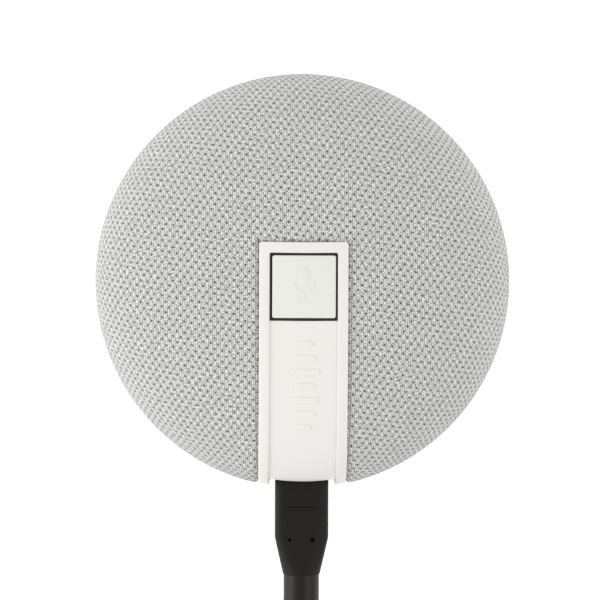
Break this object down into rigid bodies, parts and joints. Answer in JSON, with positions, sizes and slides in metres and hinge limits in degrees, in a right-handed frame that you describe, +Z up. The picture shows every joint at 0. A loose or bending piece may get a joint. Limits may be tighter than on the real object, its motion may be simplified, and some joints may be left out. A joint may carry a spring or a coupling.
{
  "type": "smart speaker",
  "caption": "Low round fabric-covered desk speaker with a white strap, one square top button, a rubber foot and a detachable black lead stored in a tied coil.",
  "frame": {"origin": "the middle of the footprint of the casing, on the surface it stands on", "axes": "+Z up, -Y towards the socket and the lead, +X to the right when looking at the socket end from above with it at the bottom"},
  "size_m": [0.0998, 0.229, 0.0298],
  "materials": {
    "fabric": "light grey fine knit",
    "white": "white satin moulding",
    "smoke": "smoked light guide",
    "base": "light grey fine texture",
    "inner": "black moulding",
    "rubber": "matt",
    "pvc": "soft black PVC",
    "steel": "plated",
    "cast": "plain",
    "copper": "enamelled copper winding",
    "board": "green solder mask",
    "chip": "epoxy",
    "cone": "coated paper",
    "foam": "closed-cell foam",
    "cloth": "impregnated cloth",
    "led": "clear epoxy and ivory nylon",
    "ribbon": "polyimide film",
    "red": "red wire sleeve"
  },
  "bodies": {
    "casing": {"foot_pad": "rubber", "base_housing": "base", "ballast_plate": "cast", "case_screw_1": "steel", "case_screw_2": "steel", "case_screw_3": "steel", "case_screw_4": "steel", "inner_chassis": "inner", "grille_screw_1": "steel", "grille_screw_2": "steel", "grille_screw_3": "steel", "grille_screw_4": "steel", "main_board": "board", "board_screw_1": "steel", "board_screw_2": "steel", "board_screw_3": "steel", "shield_can": "steel", "sound_processor": "chip", "capacitor_1": "steel", "capacitor_2": "steel", "speaker_connector": "led", "board_connector": "led", "usb_receptacle": "steel", "receptacle_tongue": "inner", "port_frame": "white", "driver_basket": "inner", "magnet_cup": "steel", "magnet": "cast", "pole_plate": "steel", "driver_spider": "cloth", "driver_surround": "rubber", "front_gasket": "foam", "mic_board": "board", "button_board": "board", "button_board_screw_1": "steel", "button_board_screw_2": "steel", "switch_body": "inner", "status_led_left": "led", "status_led_right": "led", "button_connector": "led", "light_guide": "smoke", "flat_ribbon": "ribbon", "wire_plus": "red", "wire_minus": "pvc", "grille_shell": "white", "strap_trim": "white", "fabric_cover": "fabric"},
    "button": {"mute_button": "white"},
    "plunger": {"switch_plunger": "led"},
    "cone": {"driver_cone": "cone", "dust_cap": "cone", "voice_coil": "copper"},
    "lead": {"plug_overmold": "pvc", "plug_shell": "steel", "lead_cable": "pvc", "cable_coil": "pvc", "cable_tail": "pvc", "coil_tie": "inner", "far_plug_overmold": "pvc", "far_plug_shell": "steel"}
  },
  "joints": [
    {"name": "button_press", "type": "slide", "parent": "casing", "child": "button", "axis": [0, 0, -1], "range_m": [0, 0.0004], "stiffness_N_per_m": 1500, "springref_m": -0.0003},
    {"name": "plunger_travel", "type": "slide", "parent": "casing", "child": "plunger", "axis": [0, 0, -1], "range_m": [0, 0.0004]},
    {"name": "cone_excursion", "type": "slide", "parent": "casing", "child": "cone", "axis": [0, 0, 1], "range_m": [-0.001, 0.001], "stiffness_N_per_m": 800, "deforming": ["driver_surround", "driver_spider"]},
    {"name": "plug_pull", "type": "slide", "parent": "casing", "child": "lead", "axis": [0, -1, 0], "range_m": [0, 0.01]}
  ],
  "couplings": [
    {"joint": "plunger_travel", "follows": "button_press", "ratio": 1}
  ]
}
